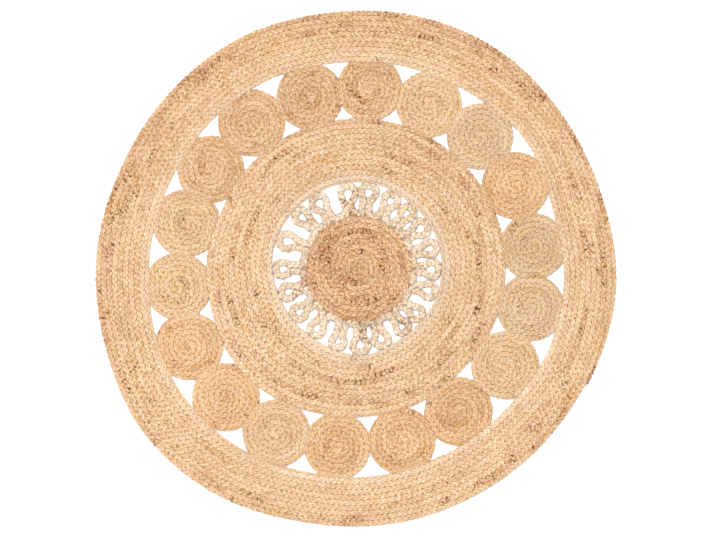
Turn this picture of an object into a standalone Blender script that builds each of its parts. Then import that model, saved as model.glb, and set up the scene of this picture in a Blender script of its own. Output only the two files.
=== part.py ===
# A round rug of plaited jute, lying flat on the floor.
#
# Braid is wound into spirals and sewn edge to edge: a wide outer band, a ring of eighteen small coils,
# a wide inner band and a coil at the centre. Between the centre coil and the inner band one more braid
# runs round in twenty open loops. Every row of braid is a rounded rib on the top, and the underside is
# flat where the rug lies on the floor.
#
# Metres, +Z up. The origin is on the floor under the middle of the rug, and +Y is the far side.
# Bearings are degrees anticlockwise from +X, seen from above. The braid is wound clockwise.

import bisect
import math
from collections import namedtuple

import bmesh
import bpy
from mathutils import Matrix, Vector

MM = 0.001

# The braid
THICKNESS = 8.0 * MM
SEAM_HEIGHT = 4.8 * MM  # the groove between two rows, and the widest point of a braid's side
UNDERCUT = 1.8 * MM  # how far the underside stands in from the widest point
CLEARANCE = 0.35 * MM  # between two pieces
LOOP_BRAID_WIDTH = 14.4 * MM
NECK_GAP = 0.5 * MM  # between the two sides of a loop, where they lie side by side
LOOP_STAND_OFF = 0.9 * MM  # between the looped braid and what it lies against

# The bands: rows of braid across each, and where the braid begins and ends
OUTER_BAND_ROWS = 10.144
OUTER_BAND_START = 25.0
OUTER_BAND_COLUMNS = 50
INNER_BAND_ROWS = 12.25
INNER_BAND_START = 255.0
INNER_BAND_COLUMNS = 42
END_WIDTH_SHARE = 0.5  # the outermost braid is drawn in to this much of its width at its cut end
END_DRAW_TURN = 0.12  # over this much of a turn
END_STEP_TURN = 0.002  # and the cut itself takes this much

# The centre coil
CENTRE_COIL_AT = Vector((4.5 * MM, 1.5 * MM))
CENTRE_COIL_RADIUS = 121.5 * MM
CENTRE_COIL_ROWS = 10
CENTRE_COIL_COLUMNS = 28

# The small coils: each rib stands for two turns of the braid
COIL_RIBS = 3
COIL_COLUMNS = 18

# The radii of the bands' four rims, in millimetres from the middle of the rug
Rims = namedtuple("Rims", "bearing outer_outside outer_inside inner_outside inner_inside")
RIMS = [
    Rims(17, 593.5, 477.0, 346.0, 198.5),
    Rims(37, 596.5, 493.0, 346.5, 197.5),
    Rims(57, 605.0, 486.5, 348.0, 197.0),
    Rims(77, 603.5, 484.0, 348.5, 202.0),
    Rims(97, 598.0, 482.0, 347.5, 201.0),
    Rims(117, 600.5, 485.0, 347.0, 198.5),
    Rims(137, 596.0, 481.5, 343.5, 197.5),
    Rims(157, 594.5, 478.0, 339.5, 197.5),
    Rims(177, 603.5, 482.0, 346.5, 194.0),
    Rims(197, 609.0, 490.5, 349.0, 189.5),
    Rims(217, 621.5, 498.5, 356.5, 187.5),
    Rims(237, 615.5, 495.0, 352.5, 188.0),
    Rims(257, 599.0, 484.0, 344.0, 194.5),
    Rims(277, 595.0, 481.5, 341.0, 199.0),
    Rims(297, 592.0, 474.0, 341.0, 191.5),
    Rims(317, 591.5, 474.5, 337.0, 190.5),
    Rims(337, 599.5, 483.5, 341.5, 195.0),
    Rims(357, 602.5, 482.5, 344.0, 196.5),
]

# The small coils: where each one's middle is, and its radius before its neighbours flatten it
Coil = namedtuple("Coil", "bearing out_mm radius_mm")
COILS = [
    Coil(7.3, 413, 77.0),
    Coil(27.8, 416, 77.5),
    Coil(47.1, 420, 76.5),
    Coil(66.3, 417, 76.5),
    Coil(85.8, 420, 75.5),
    Coil(105.1, 415, 77.0),
    Coil(125.6, 418, 77.5),
    Coil(145.6, 410, 77.5),
    Coil(164.8, 408, 78.0),
    Coil(185.4, 415, 77.5),
    Coil(204.6, 427, 78.5),
    Coil(224.4, 424, 78.5),
    Coil(244.0, 423, 78.0),
    Coil(263.9, 412, 77.0),
    Coil(284.8, 411, 77.5),
    Coil(305.6, 405, 79.0),
    Coil(327.1, 410, 78.5),
    Coil(347.6, 413, 77.5),
]

# The loops: the bearings of each one's head and neck, and the open space inside it
Loop = namedtuple("Loop", "head_bearing neck_bearing neck_out_mm opening_mm")
LOOPS = [
    Loop(359.9, 0.1, 156, 19),
    Loop(15.7, 16.2, 157, 14),
    Loop(32.1, 33.0, 159, 19),
    Loop(48.0, 48.0, 159, 14),
    Loop(63.1, 64.3, 161, 18),
    Loop(80.5, 81.8, 162, 19),
    Loop(95.9, 97.7, 155, 18),
    Loop(120.0, 118.5, 157, 19),
    Loop(136.6, 135.7, 158, 16),
    Loop(158.9, 156.3, 151, 19),
    Loop(180.9, 178.7, 153, 16),
    Loop(198.6, 198.2, 150, 15),
    Loop(217.4, 216.6, 150, 16),
    Loop(236.6, 235.6, 149, 16),
    Loop(255.8, 255.0, 158, 13),
    Loop(272.8, 272.9, 158, 20),
    Loop(289.4, 289.5, 154, 16),
    Loop(308.2, 308.4, 155, 14),
    Loop(323.9, 323.7, 156, 14),
    Loop(344.0, 343.0, 156, 17),
]
LOOP_HEAD_STEPS = 8  # stations round a loop's head
HEAD_OUT = 190 * MM  # where the bearing of a loop's head is taken
DROP_FULLNESS = 1.3  # widens the outline of a drop until its widest point is the loop's half width

# Colours of the jute, as linear red, green and blue
STRAW = (0.62, 0.41, 0.21, 1.0)
GOLDEN = (0.58, 0.36, 0.17, 1.0)
TAN = (0.46, 0.26, 0.12, 1.0)
CREAM = (0.68, 0.50, 0.31, 1.0)
GREY_TAUPE = (0.50, 0.35, 0.21, 1.0)
DULL_COILS = (3, 4, 1, 7)  # the numbers of the coils with the greyer jute


def polar(bearing, radius):
    angle = math.radians(bearing)
    return Vector((radius * math.cos(angle), radius * math.sin(angle)))


def smooth_round(bearings, values, bearing):
    """A value at any bearing, from values at a few, by a smooth curve that closes on itself."""
    count = len(bearings)
    bearing = (bearing - bearings[0]) % 360 + bearings[0]
    i = bisect.bisect_right(bearings, bearing) - 1
    span = (bearings[(i + 1) % count] - bearings[i]) % 360
    t = (bearing - bearings[i]) / span
    before, here, there, after = (values[(i + k) % count] for k in (-1, 0, 1, 2))
    slope_here = (there - before) / 2
    slope_there = (after - here) / 2
    return (
        here * (1 - t) ** 2 * (1 + 2 * t)
        + there * t**2 * (3 - 2 * t)
        + slope_here * t * (1 - t) ** 2
        - slope_there * t**2 * (1 - t)
    )


def reach(start, way, outline):
    """How far it is from a point inside a closed outline to the outline, one way."""
    nearest = math.inf
    for a, b in zip(outline, outline[1:] + outline[:1]):
        side = b - a
        cross = way.x * side.y - way.y * side.x
        if abs(cross) < 1e-12:
            continue
        gap = a - start
        along = (gap.x * side.y - gap.y * side.x) / cross
        part = (gap.x * way.y - gap.y * way.x) / cross
        if along > 0 and 0 <= part <= 1:
            nearest = min(nearest, along)
    return nearest


class Winding:
    """Rows of one braid wound clockwise in a spiral.

    Rows are counted outwards from the inside rim. A seam that is a whole number of rows out at the
    first bearing is one row further out after a turn. The innermost row grows from nothing over the
    first turn. The outermost one dies away in the last turn, or has a cut end where cut_end is true.
    """

    def __init__(self, middle, start, rows, columns, cut_end=False):
        self.middle = middle
        self.start = start
        self.rows = rows
        self.cut_end = cut_end
        self.end = rows % 1
        self.turns = [i / columns for i in range(columns)]
        if cut_end:
            self.turns = [t for t in self.turns if abs(t - self.end) > 0.4 / columns]
            self.turns = sorted(self.turns + [self.end - END_STEP_TURN, self.end])

    def last_row(self, turn):
        """How many rows out the outside rim is, after part of a turn."""
        if not self.cut_end:
            return self.rows
        since_end = (turn - self.end) % 1
        drawn_in = max(0, since_end - 1 + END_DRAW_TURN) / END_DRAW_TURN
        return self.rows - 1 + since_end - (1 - END_WIDTH_SHARE) * drawn_in

    def lie_between_rims(self, inside_name, outside_name):
        """Lays the rows between two rims of the table, equally wide at each bearing."""
        bearings = [row.bearing for row in RIMS]
        inside = [getattr(row, inside_name) * MM for row in RIMS]
        widths = [(getattr(row, outside_name) - getattr(row, inside_name)) * MM for row in RIMS]
        rows = [self.last_row((self.start - bearing) / 360 % 1) for bearing in bearings]
        pitches = [width / count for width, count in zip(widths, rows)]
        self.radius = lambda bearing, row: (
            smooth_round(bearings, inside, bearing) + smooth_round(bearings, pitches, bearing) * row
        )

    def fill_outline(self, outline, round_radius):
        """Lays the rows round their middle: the outermost follows the outline, the inner ones are round."""

        def radius(bearing, row):
            share = row / self.rows
            return share * (round_radius + (outline(bearing) - round_radius) * share**2)

        self.radius = radius

    def place(self, turn, row):
        """The point so many rows out, after part of a turn."""
        bearing = self.start - 360 * turn
        return self.middle + polar(bearing, self.radius(bearing, row))

    def inside_rim(self):
        return [self.place(turn, 0) for turn in self.turns]

    def outside_rim(self):
        return [self.place(turn, self.last_row(turn)) for turn in self.turns]


def new_piece(name, colour, build_mesh, shape):
    """One piece of the rug as a closed mesh with its own material."""
    mesh = bpy.data.meshes.new(name)
    bm = bmesh.new()
    build_mesh(bm, shape)
    bmesh.ops.remove_doubles(bm, verts=bm.verts, dist=1e-6)
    bmesh.ops.triangulate(bm, faces=[f for f in bm.faces if len(f.verts) > 3])
    bmesh.ops.recalc_face_normals(bm, faces=bm.faces)
    bm.to_mesh(mesh)
    bm.free()
    mesh.shade_smooth()
    mesh.set_sharp_from_angle(angle=math.radians(50))
    material = bpy.data.materials.new(name + "_jute")
    material.use_nodes = True
    shader = material.node_tree.nodes["Principled BSDF"]
    shader.inputs["Base Color"].default_value = colour
    shader.inputs["Roughness"].default_value = 0.85
    shader.inputs["Metallic"].default_value = 0.0
    mesh.materials.append(material)
    piece = bpy.data.objects.new(name, mesh)
    bpy.context.scene.collection.objects.link(piece)
    return piece


def add_face(bm, corners):
    """A face on these corners, leaving out those that coincide."""
    kept = []
    for corner in corners:
        if all((corner.co - other.co).length > 1e-6 for other in kept):
            kept.append(corner)
    if len(kept) > 2:
        bm.faces.new(kept)


def build_winding(bm, winding):
    """The ribbed top, the undercut sides and the flat underside of a winding."""
    open_middle = winding.radius(winding.start, 0) > 0
    last_seam = math.ceil(winding.rows) + 1
    seams, crests, floor_in, floor_out = [], [], [], []
    for turn in winding.turns:
        top = winding.last_row(turn)
        rows = [min(max(seam - 1 + turn, 0), top) for seam in range(last_seam + 1)]
        seams.append([bm.verts.new((*winding.place(turn, row), SEAM_HEIGHT)) for row in rows])
        column = []
        for low, high in zip(rows, rows[1:]):
            height = SEAM_HEIGHT + (THICKNESS - SEAM_HEIGHT) * (high - low)
            column.append(bm.verts.new((*winding.place(turn, (low + high) / 2), height)))
        crests.append(column)
        row_width = (winding.place(turn, top) - winding.place(turn, top - 1)).length
        inset = UNDERCUT / row_width
        floor_out.append(bm.verts.new((*winding.place(turn, top - inset), 0)))
        if open_middle:
            floor_in.append(bm.verts.new((*winding.place(turn, inset), 0)))
    count = len(winding.turns)
    for here in range(count):
        there = (here + 1) % count
        shift = 1 if there == 0 else 0
        for seam in range(last_seam):
            low = seams[there][min(seam + shift, last_seam)]
            high = seams[there][min(seam + 1 + shift, last_seam)]
            middle = high if seam + shift >= last_seam else crests[there][seam + shift]
            add_face(bm, [seams[here][seam], crests[here][seam], middle, low])
            add_face(bm, [crests[here][seam], seams[here][seam + 1], high, middle])
        add_face(bm, [seams[here][last_seam], floor_out[here], floor_out[there], seams[there][last_seam]])
        if open_middle:
            add_face(bm, [floor_in[here], seams[here][0], seams[there][0], floor_in[there]])
            add_face(bm, [floor_out[here], floor_in[here], floor_in[there], floor_out[there]])
    if not open_middle:
        bm.faces.new(floor_out)


def build_braid(bm, path):
    """A closed loop of braid along a path, flat below and rounded above."""
    half = LOOP_BRAID_WIDTH / 2
    section = [
        (-half + UNDERCUT, 0),
        (-half, SEAM_HEIGHT),
        (0, THICKNESS),
        (half, SEAM_HEIGHT),
        (half - UNDERCUT, 0),
    ]
    rings = []
    for before, here, after in zip(path[-1:] + path[:-1], path, path[1:] + path[:1]):
        arriving = (here - before).normalized()
        along = (arriving + (after - here).normalized()).normalized()
        across = Vector((-along.y, along.x)) / along.dot(arriving)
        rings.append([bm.verts.new((*(here + across * x), z)) for x, z in section])
    for ring, following in zip(rings, rings[1:] + rings[:1]):
        for i in range(len(section)):
            j = (i + 1) % len(section)
            bm.faces.new([ring[i], ring[j], following[j], following[i]])


def loop_path(eye_rim):
    """The middle line of the looped braid: round each loop's head, then along the centre coil."""
    half = LOOP_BRAID_WIDTH / 2
    neck_half = half + NECK_GAP / 2

    def beside_coil(point):
        outward = (point - CENTRE_COIL_AT).normalized()
        return CENTRE_COIL_AT + outward * (CENTRE_COIL_RADIUS + LOOP_STAND_OFF + half)

    loops = []
    for loop in LOOPS:
        neck = polar(loop.neck_bearing, loop.neck_out_mm * MM)
        up = (polar(loop.head_bearing, HEAD_OUT) - neck).normalized()
        side = Vector((up.y, -up.x))
        height = reach(neck, up, eye_rim) - LOOP_STAND_OFF - half
        bulge = loop.opening_mm * MM / 2 + half
        points = []
        for step in range(LOOP_HEAD_STEPS + 1):
            angle = math.pi * (2 * step / LOOP_HEAD_STEPS - 1)
            pinch = math.sin(angle / 2) ** 2
            drop = DROP_FULLNESS * math.sin(angle) * math.cos(angle / 2)
            x = bulge * drop + math.copysign(neck_half, angle) * pinch**2
            points.append(neck - side * x + up * height * (1 - pinch))
        foot = beside_coil(neck)
        outward = (foot - CENTRE_COIL_AT).normalized()
        along_coil = Vector((outward.y, -outward.x))
        points.insert(0, foot + along_coil * neck_half)
        points.append(foot - along_coil * neck_half)
        loops.append(points)
    path = []
    for points, following in zip(loops, loops[1:] + loops[:1]):
        path += points
        path.append(beside_coil((points[-1] + following[0]) / 2))
    return path


def coil_outline(coil, neighbours, band_hole, band_edge):
    """The radius of a small coil at each bearing: round, but flat against what it is sewn to."""
    middle = polar(coil.bearing, coil.out_mm * MM)
    outward = polar(coil.bearing, 1)
    walls = [(-outward, middle.dot(outward) - max(p.dot(outward) for p in band_edge) - CLEARANCE)]
    for other in neighbours:
        way = polar(other.bearing, other.out_mm * MM) - middle
        share = (way.length + (coil.radius_mm - other.radius_mm) * MM - CLEARANCE) / 2
        walls.append((way.normalized(), share))

    def radius(bearing):
        way = polar(bearing, 1)
        limits = [coil.radius_mm * MM, reach(middle, way, band_hole) - CLEARANCE]
        limits += [depth / way.dot(facing) for facing, depth in walls if way.dot(facing) > 0]
        return min(limits)

    return middle, radius


def clear_scene():
    for old in list(bpy.data.objects):
        bpy.data.objects.remove(old)


def centre_on_origin(pieces):
    """Moves the whole rug sideways, so that the middle of its box is the origin."""
    points = [vertex.co for piece in pieces for vertex in piece.data.vertices]
    middle = [(min(p[axis] for p in points) + max(p[axis] for p in points)) / 2 for axis in (0, 1)]
    for piece in pieces:
        piece.data.transform(Matrix.Translation((-middle[0], -middle[1], 0)))


def build_rug():
    clear_scene()
    middle = Vector((0, 0))
    outer_band = Winding(middle, OUTER_BAND_START, OUTER_BAND_ROWS, OUTER_BAND_COLUMNS, cut_end=True)
    outer_band.lie_between_rims("outer_inside", "outer_outside")
    inner_band = Winding(middle, INNER_BAND_START, INNER_BAND_ROWS, INNER_BAND_COLUMNS)
    inner_band.lie_between_rims("inner_inside", "inner_outside")
    centre_coil = Winding(CENTRE_COIL_AT, 0, CENTRE_COIL_ROWS, CENTRE_COIL_COLUMNS)
    centre_coil.fill_outline(lambda bearing: CENTRE_COIL_RADIUS, CENTRE_COIL_RADIUS)
    path = loop_path(inner_band.inside_rim())
    pieces = [
        new_piece("outer_band", STRAW, build_winding, outer_band),
        new_piece("inner_band", GOLDEN, build_winding, inner_band),
        new_piece("centre_coil", TAN, build_winding, centre_coil),
        new_piece("looped_braid", CREAM, build_braid, path),
    ]
    for i, coil in enumerate(COILS):
        neighbours = COILS[i - 1], COILS[(i + 1) % len(COILS)]
        rims = outer_band.inside_rim(), inner_band.outside_rim()
        coil_middle, outline = coil_outline(coil, neighbours, *rims)
        winding = Winding(coil_middle, coil.bearing, COIL_RIBS, COIL_COLUMNS)
        winding.fill_outline(outline, coil.radius_mm * MM)
        number = i + 1
        colour = GREY_TAUPE if number in DULL_COILS else GOLDEN
        pieces.append(new_piece(f"coil_{number:02d}", colour, build_winding, winding))
    centre_on_origin(pieces)


build_rug()
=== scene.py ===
# Round rug of plaited jute, seen from straight above on a white studio floor.
# Every row is a real plait of three strands, laid along the spirals that the solid model has its ribs on.
# Sizes are millimetres, and bearings are degrees anticlockwise from +X. A mesh is made in metres.

import bpy
import numpy as np
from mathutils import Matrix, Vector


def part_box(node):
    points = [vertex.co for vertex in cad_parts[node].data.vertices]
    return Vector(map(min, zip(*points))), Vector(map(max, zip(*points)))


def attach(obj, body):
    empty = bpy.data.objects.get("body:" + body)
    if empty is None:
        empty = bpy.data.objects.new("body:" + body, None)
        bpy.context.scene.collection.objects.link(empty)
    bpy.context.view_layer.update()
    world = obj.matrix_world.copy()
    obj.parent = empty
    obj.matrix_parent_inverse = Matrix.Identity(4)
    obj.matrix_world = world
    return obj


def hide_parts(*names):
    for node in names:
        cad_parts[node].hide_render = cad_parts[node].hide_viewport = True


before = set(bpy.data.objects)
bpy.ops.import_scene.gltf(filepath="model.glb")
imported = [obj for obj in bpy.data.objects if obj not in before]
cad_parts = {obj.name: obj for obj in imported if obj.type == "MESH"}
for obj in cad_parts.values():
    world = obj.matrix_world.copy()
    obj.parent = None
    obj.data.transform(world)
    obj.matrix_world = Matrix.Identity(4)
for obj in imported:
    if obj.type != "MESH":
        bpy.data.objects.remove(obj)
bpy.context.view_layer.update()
scene = bpy.context.scene
mm = 0.001
print("frame loaded:", len(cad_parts), "nodes")


camera = {
    "height": 6.2,  # metres above the floor, looking straight down
    "rugTop": 0.008,
    "frameWide": 1.6575,  # metres of rug across the picture
    "lookingAt": (0.0049, -0.0035),
    "sensor": 36.0,
    "seesTo": 100.0,
}

lens = bpy.data.cameras.new("overhead")
lens.sensor_width = camera["sensor"]
lens.lens = camera["sensor"] * (camera["height"] - camera["rugTop"]) / camera["frameWide"]
lens.clip_end = camera["seesTo"]
overhead = bpy.data.objects.new("overhead", lens)
overhead.location = (*camera["lookingAt"], camera["height"])
scene.collection.objects.link(overhead)
scene.camera = overhead
print("camera set:", round(lens.lens), "mm lens")


def addPiece(name, points, faces):
    mesh = bpy.data.meshes.new(name)
    mesh.from_pydata(points, [], faces)
    piece = bpy.data.objects.new(name, mesh)
    scene.collection.objects.link(piece)
    return piece


def polar(bearing, radius):
    angle = np.radians(bearing)
    return np.stack([radius * np.cos(angle), radius * np.sin(angle)], axis=-1)


def unit(ways):
    return ways / np.linalg.norm(ways, axis=-1, keepdims=True)


def aheadOf(line, closed=True):
    # the ways along a line, at each of its points
    if closed:
        return unit(np.roll(line, -1, axis=0) - np.roll(line, 1, axis=0))
    return unit(np.gradient(line, axis=0))


def leftOf(line, closed=True):
    # the ways to the left of a line
    ahead = aheadOf(line, closed)
    return np.stack([-ahead[:, 1], ahead[:, 0]], axis=1)


def closedCurve(bearings, values):
    # a smooth curve round the whole circle through these values
    bearings = np.array(bearings, float)
    values = np.array(values, float)
    spans = (np.roll(bearings, -1) - bearings) % 360

    def valueAt(bearing):
        turned = (np.asarray(bearing, float) - bearings[0]) % 360 + bearings[0]
        i = np.searchsorted(bearings, turned, side="right") - 1
        t = (turned - bearings[i]) / spans[i]
        before, here, there, after = (values[(i + k) % len(values)] for k in (-1, 0, 1, 2))
        rise = here * (1 - t) ** 2 * (1 + 2 * t) + there * t**2 * (3 - 2 * t)
        rise += (there - before) / 2 * t * (1 - t) ** 2
        return rise - (after - here) / 2 * t**2 * (1 - t)

    return valueAt


def reach(start, ways, outline):
    # how far it is from a point inside a closed outline to the outline, along each of the ways
    tiny = 1e-12  # for a way that runs beside a side of it
    side = np.roll(outline, -1, axis=0) - outline
    gap = outline - start
    cross = ways[:, None, 0] * side[:, 1] - ways[:, None, 1] * side[:, 0]
    cross[np.abs(cross) < tiny] = tiny
    along = (gap[:, 0] * side[:, 1] - gap[:, 1] * side[:, 0]) / cross
    part = (gap[:, 0] * ways[:, None, 1] - gap[:, 1] * ways[:, None, 0]) / cross
    along[(along <= 0) | (part < 0) | (part > 1)] = np.inf
    return along.min(axis=1)


def wander(place, step, seed):
    # smooth random values from -1 to 1, a new one every step
    knots = np.random.default_rng(seed).uniform(-1, 1, int(np.max(place) / step) + 3)
    i = (place / step).astype(int)
    t = place / step - i
    t = t * t * (3 - 2 * t)
    return knots[i] * (1 - t) + knots[i + 1] * t


def soften(values, reachOut, closed=False):
    # a running average over so many points to each side
    edge = "wrap" if closed else "edge"
    weights = np.hanning(2 * reachOut + 3)[1:-1]
    weights /= weights.sum()
    columns = [np.convolve(np.pad(v, reachOut, edge), weights, "valid") for v in values.T]
    return np.stack(columns, axis=1)


def evenly(points, step, others=(), closed=False):
    # the same line with a point every step, and nearer together where it bends hard
    perRadian = 2.2  # points to each radian of a hard bend
    bendOver = 6  # points to each side that count as one bend
    shortest = 1e-6
    if closed:
        points = np.concatenate([points, points[:1]])
    lengths = np.linalg.norm(np.diff(points, axis=0), axis=1)
    along = np.concatenate([[0], np.cumsum(lengths)])
    ways = np.diff(points, axis=0)
    heading = np.unwrap(np.arctan2(ways[:, 1], ways[:, 0]))
    turned = np.abs(np.diff(heading, append=heading[-1]))
    bend = soften(np.stack([turned / np.maximum(lengths, shortest)], axis=1), bendOver)[:, 0]
    effort = np.concatenate([[0], np.cumsum(lengths * np.maximum(1, bend * step * perRadian))])
    count = int(round(effort[-1] / step))
    place = np.interp(np.linspace(0, effort[-1], count + 1), effort, along)
    if closed:
        place = place[:-1]
    line = np.stack([np.interp(place, along, points[:, k]) for k in (0, 1)], axis=1)
    return [place, line] + [np.interp(place, along, other) for other in others]


# radii at each bearing: outer band outside and inside, inner band outside and inside
rims = {
    17: (593.5, 477.0, 346.0, 198.5),
    37: (596.5, 493.0, 346.5, 197.5),
    57: (605.0, 486.5, 348.0, 197.0),
    77: (603.5, 484.0, 348.5, 202.0),
    97: (598.0, 482.0, 347.5, 201.0),
    117: (600.5, 485.0, 347.0, 198.5),
    137: (596.0, 481.5, 343.5, 197.5),
    157: (594.5, 478.0, 339.5, 197.5),
    177: (603.5, 482.0, 346.5, 194.0),
    197: (609.0, 490.5, 349.0, 189.5),
    217: (621.5, 498.5, 356.5, 187.5),
    237: (615.5, 495.0, 352.5, 188.0),
    257: (599.0, 484.0, 344.0, 194.5),
    277: (595.0, 481.5, 341.0, 199.0),
    297: (592.0, 474.0, 341.0, 191.5),
    317: (591.5, 474.5, 337.0, 190.5),
    337: (599.5, 483.5, 341.5, 195.0),
    357: (602.5, 482.5, 344.0, 196.5),
}


def bandRadius(band, lastRow):
    # the radius so many rows out: at each bearing all the rows are equally wide
    start = band["start"]
    inside, outside = band["rims"]
    insides = [row[inside] for row in rims.values()]
    counts = [lastRow((start - bearing) / 360 % 1) for bearing in rims]
    widths = [(row[outside] - row[inside]) / count for row, count in zip(rims.values(), counts)]
    insideAt = closedCurve(list(rims), insides)
    widthAt = closedCurve(list(rims), widths)
    return lambda bearing, row: insideAt(bearing) + widthAt(bearing) * row


def coilRadius(outline, roundRadius, rows):
    # the outermost row follows the outline, and the inner ones get rounder

    def radius(bearing, row):
        share = row / rows
        return share * (roundRadius + (outline(bearing) - roundRadius) * share**2)

    return radius


def windBraid(winding, lastRow, firstTurn, lastTurn, tuckIn, tuckOut):
    # middle line, width and row number of one braid wound clockwise
    middle, start, radius = winding
    perTurn = 720  # points to a turn
    thinnest = 0.02  # of a row
    closing = 0.4  # over this share of the first stretch the second row closes round the braid's start
    turns = np.arange(firstTurn, lastTurn, 1 / perTurn)
    bearing = start - 360 * turns
    last = lastRow(turns % 1)
    outer = np.minimum(turns, last)
    inner = np.minimum(np.maximum(turns - 1, 0), outer - thinnest)
    inner = inner * np.clip((turns - 1 - (1 - closing) * firstTurn) / (closing * firstTurn), 0, 1)
    outside = radius(bearing, outer) - tuckOut(bearing) * np.clip(outer - last + 1, 0, 1)
    inside = radius(bearing, inner) + tuckIn(bearing) * np.clip(1 - inner, 0, 1)
    return middle + polar(bearing, (outside + inside) / 2), outside - inside, (outer + inner) / 2


def rimOf(winding, row, inset, columns):
    # the line so many rows out, drawn in a little
    middle, start, radius = winding
    turns = np.arange(columns) / columns
    bearing = start - 360 * turns
    return middle + polar(bearing, radius(bearing, row(turns)) - inset)


plait = {
    "strands": 3,
    "stitch": 12.8,  # from one stitch to the next along the same edge
    "stations": 11,  # sections along a strand's way out and back
    "sides": 5,
    "strandWide": 0.26,  # half a strand's width, as a share of the braid's
    "strandThick": 2.0,  # half a strand's thickness
    "middle": 4.0,  # height of the braid's middle above the floor
    "climb": 1.95,  # how far a strand rises to pass over another
    "squeeze": 1.2,  # rows are pressed into each other where they are sewn
    "tuck": 0.6,  # and drawn in by this much where nothing presses on them
    "fullWidth": 12,  # a braid that is narrower than this is thinner and lower as well
    "thinnest": 0.15,  # a share of that width
    "sink": 1.2,
    "fullOnTop": 0.13,  # a stitch swells where it lies on top
    "uneven": 0.09,  # how much a strand's width and its swing vary
    "phaseDrift": 0.5,  # radians that the stitches drift over a long way
    "slip": 0.22,  # and that each strand's come early or late
    "heightDrop": 0.25,  # the tops of the stitches lie lower by up to twice this
    "paintedDipShade": 0.04,  # painted shade where a strand dives under its neighbour, which shades it there
    "dipFrom": 0.5,  # below this share of its climb
    "paintedSeamShadow": 0.04,  # painted shadow along the row's edges, where it is sewn to the next row and the rows shade each other
    "seamFrom": 0.7,  # shares of the row's half width
    "seamWide": 0.3,
    "seamMean": 0.25,  # the middle of the row is paler by this share of the painted shadow
    "rowPatch": 0.05,  # the jute of a whole row is paler or deeper for a while
    "shortPatch": 0.7,  # and again in shorter patches, by this share
    "barkSwing": 1.5,  # how far bark comes and goes along the braid
    "barkShade": 0.05,  # barky jute is deeper by this
    "endBark": 1.3,  # how barky a frayed end is
    "different": 50,  # so many plaits have streaks of their own
    # millimetres along the braid from one random value to the next, and a seed for each kind
    "driftRun": (90, 0),
    "slipRun": (31, 17),
    "wideRun": (8, 5),
    "swingRun": (13, 9),
    "heightRun": (17, 13),
    "patchRun": (120, 31),
    "shortPatchRun": (34, 33),
    "barkRun": (45, 41),
}
eachStrand = range(plait["strands"])


def rowValue(look, key, row):
    # a look's value in each row, between the rows that it is given for
    knots = look.get(key, {0: 0})
    return np.interp(row, list(knots), list(knots.values()))


def sideAngles(sides):
    # where the corners of a strand's section are, the first at its underside
    return -np.pi / 2 + 2 * np.pi * np.arange(sides) / sides


def strandRings(line, number, seed, closed, stitch, look):
    # the sections of one strand: middle, half width and thickness, ways across and up, place and colours
    place, points, width, row = line

    def varied(kind, strand=0):
        run, kindSeed = plait[kind]
        return wander(place, run, seed + kindSeed + strand)

    period = stitch * plait["strands"]
    if closed:
        total = place[-1] + np.linalg.norm(points[0] - points[-1])
        period = total / round(total / period)
    turn = 2 * np.pi * (place / period + number / plait["strands"])
    if not closed:
        turn += plait["phaseDrift"] * varied("driftRun")
    turn += plait["slip"] * varied("slipRun", number)
    uneven = plait["uneven"]
    thin = np.clip(width / plait["fullWidth"], plait["thinnest"], 1) ** 0.5
    over = np.sin(2 * turn)
    strandWide = look.get("strandWide", plait["strandWide"])
    halfWide = width * strandWide * (1 + plait["fullOnTop"] * over)
    halfWide = halfWide * (1 + uneven * varied("wideRun", number))
    halfThick = plait["strandThick"] * thin
    swing = width * (plait["squeeze"] / 2 - strandWide) * np.sin(turn)
    swing = swing * (1 + uneven * varied("swingRun", number))
    height = plait["middle"] - plait["sink"] * (1 - thin) + plait["climb"] * thin * over
    drop = plait["heightDrop"] * (1 + varied("heightRun", number))
    height = height - drop * (over > 0)
    middles = np.column_stack([points + leftOf(points, closed) * swing[:, None], height])
    ahead = aheadOf(middles, closed)
    across = unit(np.column_stack([-ahead[:, 1], ahead[:, 0], 0 * place]))
    upward = np.cross(ahead, across)
    # the painted shade of a strand where it dives under its neighbour
    paintedDipShade = look.get("paintedDipShade", plait["paintedDipShade"])
    deepest = 1 + plait["dipFrom"]
    tone = rowValue(look, "tone", row) - paintedDipShade * np.clip(plait["dipFrom"] - over, 0, deepest) / deepest
    bearing = np.arctan2(points[:, 1], points[:, 0])
    tone = tone - look.get("deeper", 0) * np.cos(bearing - np.radians(look.get("deepAt", 0)))
    tone = tone + plait["rowPatch"] * (varied("patchRun") + plait["shortPatch"] * varied("shortPatchRun"))
    # painted shadow along the row's edges, where the next row shades it, less its mean so that the row's
    # middle is paler
    outer = swing[:, None] + halfWide[:, None] * np.cos(sideAngles(plait["sides"]))
    outer = np.abs(outer) / (width[:, None] / 2) - plait["seamFrom"]
    seam = np.clip(outer / plait["seamWide"], 0, 1) - plait["seamMean"]
    paintedSeamShadow = look.get("paintedSeamShadow", plait["paintedSeamShadow"])
    bark = plait["barkSwing"] * varied("barkRun") + rowValue(look, "bark", row) - 1
    bark = np.clip(bark, 0, 1)
    if "frayed" in look:
        toEnd = (place[-1] - place) / look["frayed"]
        bark = np.maximum(bark, plait["endBark"] * np.clip(2 - 2 * toEnd, 0, 1))
    # the tone attribute carries the jute's own tone and bark together with the painted shade and painted
    # shadow
    tone = (tone - plait["barkShade"] * bark)[:, None] - paintedSeamShadow * seam
    colours = {"tone": tone, "bark": bark, "cream": rowValue(look, "cream", row)}
    return middles, halfWide, halfThick, across, upward, place, colours


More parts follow.
